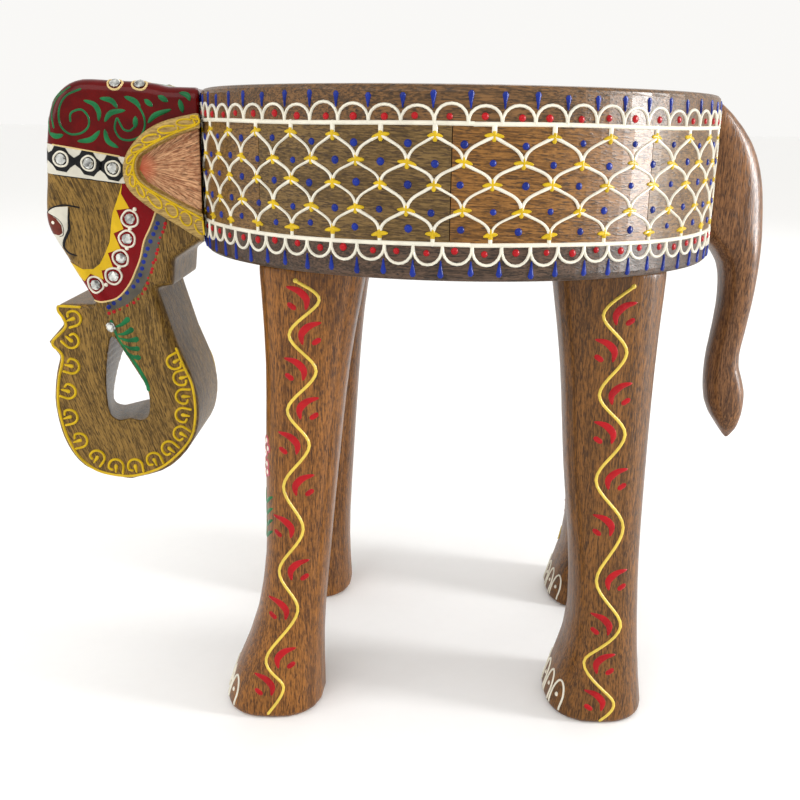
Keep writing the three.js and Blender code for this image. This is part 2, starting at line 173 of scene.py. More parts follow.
# Makes the turned outside rounder, and draws it in by the height of the raised paint, so that the
# paint keeps inside the drum's own size.
def drawn_in(shape):
    def reach(vert):
        return math.hypot(vert.co.x - drum_x, vert.co.y)

    rims = {}
    for vert in shape.verts:
        level = round(vert.co.z, 1)
        rims[level] = max(rims.get(level, 0), reach(vert))

    def outside(vert, slack):
        return reach(vert) > max(seat_radius - outside_depth, rims[round(vert.co.z, 1)] - slack)

    rounds = [
        edge
        for edge in shape.edges
        if abs(edge.verts[0].co.z - edge.verts[1].co.z) < level_slack
        and all(outside(vert, level_slack) for vert in edge.verts)
    ]
    bmesh.ops.subdivide_edges(shape, edges=rounds, cuts=3)
    for vert in shape.verts:
        if outside(vert, rim_slack):
            out = Vector((vert.co.x - drum_x, vert.co.y, 0)).normalized()
            rim = rims[round(vert.co.z, 1)]
            vert.co = Vector((drum_x, 0, vert.co.z)) + out * (rim - paint_room)
    return shape


top_wood = wood("top board wood", (0.185, 0.09, 0.03), (0.062, 0.033, 0.013), (0.025, 0.014, 0.007))
seat_top = make("seat_top_board", drawn_in(cad_shape("seat_top")), top_wood, lambda at: at)
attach(seat_top, "root")
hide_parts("seat_top")

# ---- The seat's base board -----------------------------------------------------------------------
# A second round board, darker with handling, bored for the legs' bolts and glued under the ring.
base_wood = wood("base board wood", (0.1, 0.058, 0.036), (0.033, 0.02, 0.012), (0.012, 0.008, 0.006))
other_plank = Vector((90, 40, 7))
base_shape = drawn_in(cad_shape("seat_base"))
seat_base = make("seat_base_board", base_shape, base_wood, lambda at: at + other_plank)
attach(seat_base, "root")
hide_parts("seat_base")

# ---- The ring of blocks --------------------------------------------------------------------------
# Nine curved blocks sawn from offcuts, glued end to end and turned round. Each block has a tone of
# its own, and its grain runs along the wall.
block_tones = {
    "grey": ((0.172, 0.102, 0.032), (0.068, 0.038, 0.009)),
    "brown": ((0.205, 0.108, 0.031), (0.08, 0.038, 0.008)),
    "orange": ((0.25, 0.11, 0.022), (0.1, 0.041, 0.006)),
}
block_pores = (0.035, 0.017, 0.006)
block_woods = {}
for name, (pale, dark) in block_tones.items():
    block_woods[name] = wood(f"{name} block wood", pale, dark, block_pores)
grain_climb = 0.04
other_offcut = 31
block_order = ["orange", "brown", "grey", "orange", "brown", "grey", "orange", "brown", "grey"]


def wall_grain(number):
    def grain(at):
        angle = math.atan2(at.x - drum_x, -at.y)
        along = angle * wall_radius
        return Vector((along, at.z + grain_climb * along, at.y * 0.3 + other_offcut * number))

    return grain


for number, tone in enumerate(block_order):
    node = f"rim_block_{number + 1}"
    block = make(f"{node}_wood", drawn_in(cad_shape(node)), block_woods[tone], wall_grain(number))
    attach(block, "root")
    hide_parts(node)

ring_low = in_mm("seat_base")[1].z
ring_high = board_low.z
drum_middle = (ring_low + ring_high) / 2

# ---- The painting on the drum's wall -------------------------------------------------------------
# Enamel squeezed from a cone: a white net of scales between two lines with scallops, yellow
# crosses on its knots, blue dots in its cells, red dots in the scallops and blue drops beyond them.
# The painter crowded the net's columns together towards the middle of the left side.
net_columns = 35
net_first = -54.4
net_crowding = 3.8
net_crowded_over = 113
net_rows = [ring_high - 4.5, ring_high - 15, drum_middle, ring_low + 13.3, ring_low + 3.8]
net_width = 1.45
bead_height = 0.75
hand = random.Random(11)


def paint(name, colour, shade=0.75, roughness=0.3, gloss=0.12):
    material = bpy.data.materials.new(name)
    material.use_nodes = True
    tree = material.node_tree
    shader = tree.nodes["Principled BSDF"]
    spot = tree.nodes.new("ShaderNodeTexCoord").outputs["Object"]
    worn = add(tree, "ShaderNodeTexNoise", {"Vector": spot, "Scale": 130.0, "Detail": 4.0}).outputs[0]
    fine = add(tree, "ShaderNodeTexNoise", {"Vector": spot, "Scale": 900.0, "Detail": 2.0}).outputs[0]
    dim = tuple(part * shade for part in colour)
    tone = mixed(tree, ranged(tree, worn, 0.35, 0.6), (*dim, 1), (*colour, 1))
    tree.links.new(tone, shader.inputs["Base Color"])
    uneven = add(tree, "ShaderNodeMath", {0: worn, 1: 0.3, 2: roughness - 0.15}, operation="MULTIPLY_ADD")
    tree.links.new(uneven.outputs[0], shader.inputs["Roughness"])
    bump = add(tree, "ShaderNodeBump", {"Height": fine, "Strength": 0.2, "Distance": 0.0002})
    tree.links.new(bump.outputs[0], shader.inputs["Normal"])
    shader.inputs["Specular IOR Level"].default_value = 0.12
    shader.inputs["Coat Weight"].default_value = gloss
    shader.inputs["Coat Roughness"].default_value = 0.1
    return material


white_paint = paint("white enamel", (0.76, 0.72, 0.6), 0.88)
yellow_paint = paint("yellow enamel", (0.62, 0.41, 0.012), 0.78)
red_paint = paint("red enamel", (0.4, 0.006, 0.01), 0.75)
blue_paint = paint("blue enamel", (0.008, 0.025, 0.24), 0.6)


# A smooth line through points.
def flowing(points, steps=5):
    ends = [points[0], *points, points[-1]]
    line = []
    for a, b, c, d in zip(ends, ends[1:], ends[2:], ends[3:]):
        for i in range(steps):
            t = i / steps
            spot = []
            for p, q, r, s in zip(a, b, c, d):
                square = (2 * p - 5 * q + 4 * r - s) * t**2
                cube = (3 * q - p - 3 * r + s) * t**3
                spot.append(q + (r - p) * t / 2 + square / 2 + cube / 2)
            line.append(tuple(spot))
    return [*line, points[-1]]


# Joins rings of points to a closed skin.
def skinned(shape, rings):
    for first, second in zip(rings, rings[1:]):
        for k in range(len(first)):
            n = (k + 1) % len(first)
            shape.faces.new((first[k], first[n], second[n], second[k]))
    shape.faces.new(rings[0])
    shape.faces.new(rings[-1])


end_shift, end_size, end_height = 0.75, 0.5, 0.6
full_height_width = 0.8


# A line of raised paint, half round, laid on a surface. Its width may change along its length, its
# ends are rounded, and it is lower where it is thinner than its full height needs.
def bead(shape, path, place, width, height=bead_height, sides=5, sink=0.2):
    spots = [spot for spot in (place(*point) for point in path) if spot]
    if len(spots) < 2:
        return
    rings = []
    last = len(spots) - 1
    for i, (at, up) in enumerate(spots):
        ahead = spots[min(i + 1, last)][0] - spots[max(i - 1, 0)][0]
        ahead = (ahead - up * ahead.dot(up)).normalized()
        across = up.cross(ahead)
        half = (width(i / last) if callable(width) else width) / 2
        turns = [(0, 1)]
        if i == 0:
            turns = [(-end_shift, end_size), (0, 1)]
        if i == last:
            turns = [(0, 1), (end_shift, end_size)]
        for shift, size in turns:
            centre = at + ahead * shift * half - up * sink
            rise = (height + sink) * (end_height if size < 1 else 1) * min(1, half * 2 / full_height_width)
            rings.append([
                shape.verts.new(
                    centre
                    + across * half * size * math.cos(math.pi * k / sides)
                    + up * rise * math.sin(math.pi * k / sides)
                )
                for k in range(sides + 1)
            ])
    skinned(shape, rings)


dome = ((1, 0), (0.78, 0.65), (0.35, 1))


# A drop of raised paint: its rings narrow and rise to a low dome.
def dot(shape, spot, radius, height=bead_height, sides=10, sink=0.2):
    if not spot:
        return
    at, up = spot
    across = up.orthogonal().normalized()
    other = up.cross(across)
    turns = [math.tau * k / sides for k in range(sides)]
    ways = [across * math.cos(turn) + other * math.sin(turn) for turn in turns]
    rings = []
    for reach, rise in ((1, -sink), *((reach, level * height) for reach, level in dome)):
        rings.append([shape.verts.new(at + up * rise + way * radius * reach) for way in ways])
    skinned(shape, rings)


# Makes a piece of paint, which stays on the wood.
def lay(name, shape, enamel):
    painted = make(name, shape, enamel)
    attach(painted, "root")


# Places on the drum's wall are given by the angle from the left side and by the height.
def on_wall(angle, z):
    turn = math.radians(angle)
    up = Vector((math.sin(turn), -math.cos(turn), 0))
    return Vector((drum_x, 0, z)) + up * wall_radius, up


def column(number):
    angle = net_first + number * 360 / net_columns
    part = (angle - net_first) / net_crowded_over
    if part > 1:
        return angle
    return angle - net_crowding * math.sin(math.pi * part) ** 2


white, yellow, blue, red = bmesh.new(), bmesh.new(), bmesh.new(), bmesh.new()
cross_height, arc_steps, arc_wave = 0.8, 12, 0.035
columns = [column(number) for number in range(net_columns)]
columns = [columns[-1] - 360, *columns, columns[0] + 360]
for before, here, after in zip(columns, columns[1:], columns[2:]):
    beside = (before + here) / 2
    between = (here + after) / 2
    for row, z in enumerate(net_rows):
        angle, middle, ends = here, between, (beside, between)
        if row % 2:
            angle, middle, ends = between, here, (here, after)
        spot_z = z + hand.uniform(-0.4, 0.4)
        arm = math.degrees(hand.uniform(2.4, 3.8) / wall_radius)
        tilt = hand.uniform(-0.7, 0.7)
        cross = [(angle - arm, spot_z - tilt), (angle, spot_z + 0.3), (angle + arm, spot_z + tilt)]
        upright = [(angle, spot_z + 1.8), (angle, spot_z), (angle, spot_z - 1.4)]
        bead(yellow, flowing(cross), on_wall, lambda part: 1.1 + 1.1 * math.sin(math.pi * part), cross_height)
        bead(yellow, upright, on_wall, 2.1, 0.85)
        if row < len(net_rows) - 1:
            for end in ends:
                path = []
                bend = hand.uniform(0.5, 0.75)
                for i in range(arc_steps + 1):
                    t = i / arc_steps
                    wave = arc_wave * math.sin(t * math.tau)
                    flat = (1 - bend) * t + bend * math.sin(t * math.pi / 2) - wave
                    fall = (1 - bend) * t + bend * (1 - math.cos(t * math.pi / 2)) + wave
                    path.append((angle + (end - angle) * flat, z + (net_rows[row + 1] - z) * fall))
                thick = net_width * hand.uniform(0.85, 1.15)
                bead(white, path, on_wall, lambda part, w=thick: w * (1.12 - 0.3 * math.sin(math.pi * part)))
        lift = {0: -3, len(net_rows) - 1: 2}.get(row, 0)
        shake = hand.uniform(-0.6, 0.6)
        spot = on_wall(middle + shake, z + lift + hand.uniform(-0.8, 0.8))
        dot(blue, spot, hand.uniform(1.3, 1.7), 0.8)
    bead(white, [(here, ring_high), (here, net_rows[0])], on_wall, 2.2)
    bead(white, [(here, net_rows[-1]), (here, ring_low)], on_wall, 1.8)

scallop_steps, drop_steps = 10, 6


def scallops(count, first, line, reach):
    step = 360 / count
    for number in range(count):
        angle = first + number * step
        tall = reach * hand.uniform(0.9, 1.08)
        path = []
        for i in range(scallop_steps + 1):
            t = i / scallop_steps
            rise = tall * math.sin(math.pi * t) ** 0.8
            path.append((angle + step * (0.5 - 0.5 * math.cos(math.pi * t)), line + rise))
        bead(white, path, on_wall, 1.3)
        centre = angle + step * hand.uniform(0.4, 0.6)
        dot(red, on_wall(centre, line + reach * hand.uniform(0.3, 0.48)), hand.uniform(1.3, 1.7), 0.8)


def drops(count, first, thin_end, fat_end):
    for number in range(count):
        angle = first + number * 360 / count + hand.uniform(-0.4, 0.4)
        end = fat_end + hand.uniform(-0.7, 0.7)
        path = [(angle, thin_end + (end - thin_end) * i / drop_steps) for i in range(drop_steps + 1)]
        bead(blue, path, on_wall, lambda part: 0.6 + 2.1 * part**1.2, 0.7)


upper_count, upper_first, upper_reach = 61, 4.9, 7.4
lower_count, lower_first, lower_reach = 68, 0.4, -7.6
scallops(upper_count, upper_first, ring_high, upper_reach)
scallops(lower_count, lower_first, ring_low, lower_reach)
drops(upper_count, upper_first, ring_high + 6, ring_high + 11)
drops(lower_count, lower_first, ring_low - 6.5, ring_low - 12)
for line in (ring_high, ring_low):
    path = [(angle, line + 0.25 * math.sin(angle / 9)) for angle in range(0, 361, 3)]
    bead(white, path, on_wall, 1.9)

lay("drum_white_net", white, white_paint)
lay("drum_yellow_crosses", yellow, yellow_paint)
lay("drum_blue_drops", blue, blue_paint)
lay("drum_red_dots", red, red_paint)

# ---- The seat's rim line -------------------------------------------------------------------------
# One stroke of blue-green paint round the rounded edge of the top board.
rim_drop = 1.3


def on_rim(angle, z):
    turn = math.radians(angle)
    out = Vector((math.sin(turn), -math.cos(turn), 0))
    up = (out + Vector((0, 0, 1))).normalized()
    return Vector((drum_x, 0, z)) + out * (wall_radius - rim_drop), up


rim_shape = bmesh.new()
bead(rim_shape, [(a, board_high.z - rim_drop) for a in range(0, 361, 3)], on_rim, 2.6, 0.25)
teal_paint = paint("blue-green enamel", (0.05, 0.16, 0.16), 0.5)
lay("seat_rim_line", rim_shape, teal_paint)

# ---- The legs ------------------------------------------------------------------------------------
# Four legs of mango wood, sawn and rasped to shape and sanded round. Their grain runs upright. The
# right legs are the same work, carved by eye.
leg_names = [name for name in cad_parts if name.startswith("leg_") and name.count("_") == 2]
leg_names = sorted(name for name in leg_names if name.split("_")[1] in ("front", "back"))
leg_woods = {
    "front": wood("front leg wood", (0.28, 0.106, 0.017), (0.095, 0.033, 0.004), (0.04, 0.014, 0.004)),
    "back": wood("back leg wood", (0.21, 0.083, 0.015), (0.07, 0.027, 0.004), (0.03, 0.012, 0.003)),
}


# A piece of wood with its edges sanded: its mesh is made even and fine, then smoothed.
def rounded(node, voxel, passes):
    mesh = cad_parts[node].data.copy()
    rough = bpy.data.objects.new(f"{node}_rough", mesh)
    bpy.context.scene.collection.objects.link(rough)
    fine = rough.modifiers.new("fine", "REMESH")
    fine.mode = "VOXEL"
    fine.voxel_size = voxel * mm
    even = rough.modifiers.new("even", "SMOOTH")
    even.factor = 0.5
    even.iterations = passes
    shape = bmesh.new()
    shape.from_object(rough, bpy.context.evaluated_depsgraph_get())
    bpy.data.objects.remove(rough)
    bmesh.ops.scale(shape, vec=(1 / mm,) * 3, verts=shape.verts)
    return shape


def upright_grain(seed):
    def grain(at):
        wander = 3 * noise.noise(at * 0.012 + Vector((seed, 0, 0)))
        return Vector((at.z, at.x + wander + 57 * seed, at.y))

    return grain


leg_voxel, leg_passes = 1.3, 18
surfaces = {}
for seed, node in enumerate(leg_names):
    shape = rounded(node, leg_voxel, leg_passes)
    surfaces[node] = BVHTree.FromBMesh(shape)
    leg = make(f"{node}_wood", shape, leg_woods[node.split("_")[1]], upright_grain(seed + 1))
    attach(leg, "root")
    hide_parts(node)

# ---- The painting on the legs --------------------------------------------------------------------
# A yellow line winds down the outer face of each leg, with a red crescent and a spot in each bend.
# The front legs have a white flower and green leaves in front, and all feet have white nails.
outside = 300
front_bends = [
    (5.3, 212.6), (-8.7, 196.3), (3.5, 179.1), (-10.2, 160.2), (-0.1, 142.7), (-12.7, 121.9),
    (-3.4, 100), (-15.4, 78.1), (-6.4, 57.3), (-22.2, 32.2), (-13.5, 17.7),
]
back_bends = [
    (-5.3, 207.9), (6.9, 190.4), (-4, 169.8), (9.5, 150.6), (-2.5, 127.5), (12.2, 103.7),
    (1.1, 75.5), (14.3, 51.9), (-2.5, 31.7), (12.8, 12.2),
]
front_ends = ((-5.2, 221.5), (-21.3, 3.3))
back_ends = ((7.2, 221.3), (6.5, 2.3))
pale_yellow = paint("pale yellow enamel", (0.72, 0.52, 0.08), 0.85, 0.24, 0.2)
pink_paint = paint("pink enamel", (0.5, 0.1, 0.13), 0.8)
green_paint = paint("green enamel", (0.008, 0.15, 0.045), 0.6)


# Finds the place of a point on a surface, as it is seen from the side or from the front.
def seen_from(surface, towards, origin_x=0, origin_z=0):
    def place(across, z):
        start = Vector((0, across, z + origin_z))
        if towards.y:
            start = Vector((across + origin_x, 0, z + origin_z))
        hit, up, _, _ = surface.ray_cast(start - towards * outside, towards)
        return (hit, up) if hit else None

    return place


def swelling(most, ends=0.3):
    return lambda part: ends + (most - ends) * math.sin(math.pi * part) ** 0.8


crescent = [(15, 6), (9.4, 4.4), (5.7, 0.4), (6.2, -4.6)]
crescent_spot = [(13.5, -2.2), (11.5, -3.6)]
nail_arch = [(-4, 3), (-4.2, 10), (-2.6, 15.4), (0, 17.2), (2.6, 15.4), (4.2, 10), (4, 3)]
nail_places = (-16, -5.5, 5.5, 16)
nail_spot = 9.5
flower_heights, petal_count, petal_reach, flower_out = (128, 139), 5, 3.4, 9
leaf_count, leaf_top, leaf_step = 4, 112, 6
for node in leg_names:
    side = -1 if node.endswith("left") else 1
    front = "front" in node
    bolt_low, bolt_high = in_mm(node.replace("leg_", "leg_bolt_"))
    axis = (bolt_low + bolt_high) / 2
    place = seen_from(surfaces[node], Vector((0, -side, 0)), axis.x)
    bends = front_bends if front else back_bends
    start, end = front_ends if front else back_ends
    wave, crescents = bmesh.new(), bmesh.new()
    bead(wave, flowing([start, *bends, end], 8), place, 1.6, 0.7)
    dot(wave, place(*start), 1.2, 0.8)
    towards_tail = bends[0][0] > bends[1][0]
    for number, (x, z) in enumerate(bends):
        way = -1 if (number % 2 == 0) == towards_tail else 1
        arc = [(x + way * out, z + up) for out, up in crescent]
        bead(crescents, flowing(arc), place, swelling(3.9), 0.35)
        bead(crescents, [(x + way * out, z + up) for out, up in crescent_spot], place, 2.9, 0.4)
    lay(f"{node}_yellow_line", wave, pale_yellow)
    lay(f"{node}_red_crescents", crescents, red_paint)

    ahead = seen_from(surfaces[node], Vector((1, 0, 0)))
    nails = bmesh.new()
    for across in nail_places:
        y = axis.y + across
        bead(nails, flowing([(y + out, z) for out, z in nail_arch], 4), ahead, 1.2, 0.6)
        dot(nails, ahead(y, nail_spot), 1.2, 0.6)
    lay(f"{node}_nails", nails, white_paint)
    if not front:
        continue
    flower, edges, leaves = bmesh.new(), bmesh.new(), bmesh.new()
    flower_y = axis.y + flower_out * side
    for height in flower_heights:
        for number in range(petal_count):
            turn = math.tau * number / petal_count + height
            y = flower_y + petal_reach * math.cos(turn)
            z = height + petal_reach * math.sin(turn)
            dot(edges, ahead(y, z), 2.4, 0.35)
            dot(flower, ahead(y, z), 1.6, 0.6)
    for number in range(leaf_count):
        z = leaf_top - leaf_step * number
        for way in (-1, 1):
            leaf = [(flower_y, z - 3), (flower_y + way * 3, z), (flower_y + way * 7, z + 3)]
            bead(leaves, flowing(leaf), ahead, swelling(2.4), 0.35)
    lay(f"{node}_petals", flower, white_paint)
    lay(f"{node}_petal_edges", edges, pink_paint)
    lay(f"{node}_leaves", leaves, green_paint)

# ---- The head and the trunk ----------------------------------------------------------------------
# One block of mango wood, sawn to its outline, hollowed to fit the wall and rounded at the edges.
# The paint's places are given from a point on the wall half-way up the drum.
head_shape = rounded("head", 1.0, 5)
head_surface = BVHTree.FromBMesh(head_shape)
head_x = board_low.x
head_start = Vector((head_x, 0, drum_middle))
swirl_most, swirl_scale = 12, 0.016
head_wood = wood("head wood", (0.255, 0.145, 0.032), (0.08, 0.043, 0.007), (0.035, 0.019, 0.005), 0.02)
lean = math.radians(14)


def head_grain(at):
    x, z = at.x - head_x, at.z - drum_middle
    along = z * math.cos(lean) - x * math.sin(lean)
    across = x * math.cos(lean) + z * math.sin(lean)
    swirl = swirl_most * noise.noise(Vector((x, at.y, z)) * swirl_scale)
    return Vector((along, across + swirl, at.y))


head = make("head_wood", head_shape.copy(), head_wood, head_grain)
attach(head, "root")
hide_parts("head")

# ---- The cap, the brow band and the cheek band ---------------------------------------------------
# Flat brushwork, each colour a thin film on the wood: a red cap, a white band with a black chain,
# and a crimson strap with yellow teeth from the ear to the root of the trunk.
film_depth = 0.12


def inside(point, outline):
    x, z = point
    hits = 0
    for (x0, z0), (x1, z1) in zip(outline, outline[1:] + outline[:1]):
        if (z0 > z) != (z1 > z) and x < x0 + (z - z0) * (x1 - x0) / (z1 - z0):
            hits += 1
    return hits % 2 == 1


def cut_by(shape, point, normal, clear=False):
    everything = [*shape.verts, *shape.edges, *shape.faces]
    plane = {"plane_co": point, "plane_no": normal, "clear_outer": clear}
    bmesh.ops.bisect_plane(shape, geom=everything, dist=0.001, **plane)


# Takes the wood's surface inside an outline and lifts it off as a film. The outline is drawn on
# the side, or on the front where its first coordinate is across the head. A film on one side only
# ends at inner, which is measured across the head.
def film(wooden, outline, lift, accept=lambda at: True, across=False, inner=0):
    def flat(at):
        return (at.y if across else at.x - head_start.x, at.z - head_start.z)

    low = [min(p[k] for p in outline) - 2 for k in (0, 1)]
    high = [max(p[k] for p in outline) + 2 for k in (0, 1)]
    shape = bmesh.new()
    copies = {}
    for face in wooden.faces:
        at = face.calc_center_median()
        u, v = flat(at)
        near_enough = low[0] < u < high[0] and low[1] < v < high[1] and at.y * inner >= 0
        if not (near_enough and accept(at)):
            continue
        corners = []
        for vert in face.verts:
            if vert not in copies:
                copies[vert] = shape.verts.new(vert.co)
            corners.append(copies[vert])
        shape.faces.new(corners)
    for (u0, v0), (u1, v1) in zip(outline, outline[1:] + outline[:1]):
        point = Vector((u0 + head_start.x, 0, v0 + head_start.z))
        normal = Vector((v1 - v0, 0, u0 - u1))
        if across:
            point = Vector((0, u0, v0 + head_start.z))
            normal = Vector((0, v1 - v0, u0 - u1))
        cut_by(shape, point, normal.normalized())
    if inner:
        middle = Vector((0, inner, 0))
        cut_by(shape, middle, -middle, True)
    outer = [face for face in shape.faces if not inside(flat(face.calc_center_median()), outline)]
    bmesh.ops.delete(shape, geom=outer, context="FACES")
    shape.normal_update()
    normals = {vert: vert.normal.copy() for vert in shape.verts}
    lifted = bmesh.ops.extrude_face_region(shape, geom=shape.faces[:], use_keep_orig=True)
    for vert, up in normals.items():
        vert.co -= up * film_depth
    for vert in (v for v in lifted["geom"] if isinstance(v, bmesh.types.BMVert)):
        nearest = vert.normal if vert.normal.length else Vector((0, 0, 1))
        vert.co += nearest * lift
    return shape


def joined(shapes):
    whole = bmesh.new()
    for shape in shapes:
        mesh = bpy.data.meshes.new("part")
        shape.to_mesh(mesh)
        whole.from_mesh(mesh)
        bpy.data.meshes.remove(mesh)
        shape.free()
    return whole


def cap_edge(x):
    return 11.4 - 0.158 * (x + 70.4)


def band_edge(x):
    return -2.7 - 0.119 * (x + 71.6)


front_x, back_x, band_back_x = -90, 6, -27
cap_red = paint("cap red", (0.105, 0, 0), 0.7, 0.2, 0.1)
strap_red = paint("strap crimson", (0.17, 0, 0.002), 0.9, 0.22, 0.05)
band_white = paint("band white", (0.6, 0.57, 0.48), 0.85)
black_paint = paint("black enamel", (0.008, 0.008, 0.009), 0.6)

above_cap = 60
first_coat, second_coat = 0.16, 0.3
cap_outline = [
    (front_x, cap_edge(front_x)),
    (back_x, cap_edge(back_x)),
    (back_x, above_cap),
    (front_x, above_cap),
]
band_outline = [
    (front_x, band_edge(front_x)),
    (band_back_x, band_edge(band_back_x)),
    (band_back_x, cap_edge(band_back_x)),
    (front_x, cap_edge(front_x)),
]
lay("cap", film(head_shape, cap_outline, first_coat), cap_red)
lay("brow_band", film(head_shape, band_outline, first_coat), band_white)

sides = {-1: "left", 1: "right"}
near = {side: seen_from(head_surface, Vector((0, -side, 0)), head_x, drum_middle) for side in sides}
ahead = seen_from(head_surface, Vector((1, 0, 0)), 0, drum_middle)
brow_spots = [(-64.7, 4.2), (-51.4, 2.4), (-39.4, 0.2)]


# A link of the black chain: a six-sided eye that narrows to a neck on both sides.
def link(u, v, half, slope=0.0):
    top = [(-half, 1.5), (-half * 0.6, 3.4), (-2.6, 5.9), (2.6, 5.7), (half * 0.62, 3.2), (half, 1.5)]
    under = [(half, -1.5), (half * 0.62, -3.6), (2.4, -5.9), (-2.4, -5.7), (-half * 0.6, -3.4), (-half, -1.5)]
    return [(u + x, v + z + slope * x) for x, z in top + under]


chain = [film(head_shape, link(x, z, 6.75, -0.15), second_coat) for x, z in brow_spots]
neck = [(front_x, 7.6), (-71, 6.5), (-71, 3.9), (front_x, 4.6)]
chain.append(film(head_shape, neck, second_coat))
front_face = head_x - 66
for y in (-24.5, -14, 0, 14, 24.5):
    chain.append(film(head_shape, link(y, 5.9, 7), 0.32, lambda at: at.x < front_face, True))
lines = joined(chain)
for side, place in near.items():
    bead(lines, [(x, band_edge(x) - 0.2) for x in range(-73, -33, 4)], place, 0.7, 0.3)
lay("brow_chain", lines, black_paint)

strap_inner = [
    (-27, -6), (-35.4, -7), (-37.9, -13.9), (-40.9, -21.2), (-42.3, -27.7), (-43.6, -35.9),
    (-46.3, -41.8), (-49.1, -46.8), (-52.7, -49.5), (-57.7, -49.6), (-61.7, -47.4), (-72, -43),
]
strap_outer = [
    (-58, -67), (-52.1, -65.6), (-48.8, -66.1), (-41.9, -64.3), (-36.6, -59.2), (-32.4, -52.4),
    (-28.6, -44), (-26, -34.8), (-22.3, -27.4), (-19, -19),
]
teeth_edge = [
    (-72, -50), (-62, -52.5), (-57.3, -55.7), (-54.3, -51.9), (-47.8, -54.7), (-48.5, -50.1),
    (-42.6, -48.8), (-44.8, -41.3), (-38.3, -39.1), (-41.3, -31.4), (-36, -29.2), (-39, -19.9),
    (-32.5, -19), (-36.2, -12),
]
lay("cheek_strap", film(head_shape, strap_inner + strap_outer, first_coat), strap_red)
gold = paint("yellow brushwork", (0.6, 0.38, 0.008), 0.9)
lay("cheek_teeth", film(head_shape, strap_inner[1:] + teeth_edge, second_coat), gold)

# ---- The brushwork round the cap and the straps --------------------------------------------------
# Green scrolls and leaves on the cap's sides, front and crown, a cream line along each band, and
# rows of blue and red dots that follow the strap on a grey wash.
spirals = [
    [
        (-58.6, 22.1), (-58.4, 25.2), (-56.4, 26.9), (-52.7, 27.5), (-49.9, 24.4), (-49.9, 20.1),
        (-53.4, 16.8), (-58.7, 16), (-62.6, 18.5), (-64.1, 22.7), (-63.2, 29.1), (-59.5, 34.1),
        (-52.7, 37),
    ],
    [
        (-28, 19.7), (-30, 18.1), (-32.9, 18.6), (-34.6, 21.4), (-36, 23.8), (-37.3, 18.9),
        (-35, 14.6), (-30.6, 13.6), (-25.3, 15.5), (-22.8, 19.8), (-22.9, 24.8), (-25.4, 29.5),
        (-30, 32.8),
    ],
    [(-67, 19), (-67.6, 26), (-64.4, 33), (-58, 38)],
    [(-69.4, 17), (-70, 25), (-67.5, 31), (-62.6, 36)],
]
leaves = [
    [(-51.2, 31.8), (-46.6, 30.1), (-44.6, 26.6), (-44.9, 22.7)],
    [(-43.4, 32.9), (-38.3, 32), (-35.6, 28.8)],
    [(-31.6, 33.8), (-27.3, 32.1), (-24.5, 29.4)],
    [(-41.9, 22.3), (-38.7, 26.3), (-32, 27.5)],
    [(-20.9, 22), (-17.3, 25.6), (-9.8, 28.2)],
    [(-55.6, 12.8), (-49.2, 13.7), (-44.8, 17.7)],
    [(-42.2, 18.4), (-41, 13.1), (-36.4, 10.2)],
    [(-69.3, 16.4), (-66.2, 15), (-62.8, 15.6)],
    [(-5.4, 32.8), (-4, 27.2)],
    [(-5.3, 36), (-1.7, 35), (-0.4, 32.6)],
    [(-15.4, 34.4), (-11.1, 32)],
    [(-27, 24.7), (-27.3, 19.7)],
    [(-22.1, 32.6), (-18.6, 29.8)],
]
scrolls, cream, wash, blue, red = bmesh.new(), bmesh.new(), [], bmesh.new(), bmesh.new()
wash_outline = [
    (-46, -66.4), (-41.9, -64.6), (-36.6, -59.4), (-32.4, -52.6), (-28.6, -44.2), (-26, -35),
    (-22.3, -27.6), (-18, -20), (-14.5, -22.5), (-17.8, -34), (-21.4, -43.5), (-25, -53),
    (-29.5, -61), (-37, -67.5), (-45, -70.5),
]
blue_row, blue_count = [(-18.9, -26.1), (-25.5, -41), (-31.3, -56.1), (-46, -68.7)], 15
red_row, red_count = [(-15.5, -26.5), (-19.6, -39), (-23.6, -51), (-30.9, -64), (-46, -72.4)], 21
brow_scrolls = [
    [
        (5, 18), (8.6, 16.6), (11, 19.4), (9.6, 23.4), (5.2, 24.2), (2, 20.8), (3, 15.2), (8.6, 12.8),
        (15, 14.6),
    ],
    [(17, 26), (20.6, 24.6), (23, 21), (21.4, 16.8), (17.4, 17.6), (17.6, 21)],
    [(2.4, 28.4), (7, 30.8), (12.4, 29.2), (15.6, 24.6)],
]
for across_side in (-1, 1):
    for path in brow_scrolls:
        bead(scrolls, flowing([(y * across_side, z) for y, z in path]), ahead, swelling(2.2, 0.9), 0.45)


def on_crown(x, y):
    over = Vector((head_x + x, y, board_high.z + above_cap))
    hit, up, _, _ = head_surface.ray_cast(over, Vector((0, 0, -1)))
    return (hit, up) if hit else None


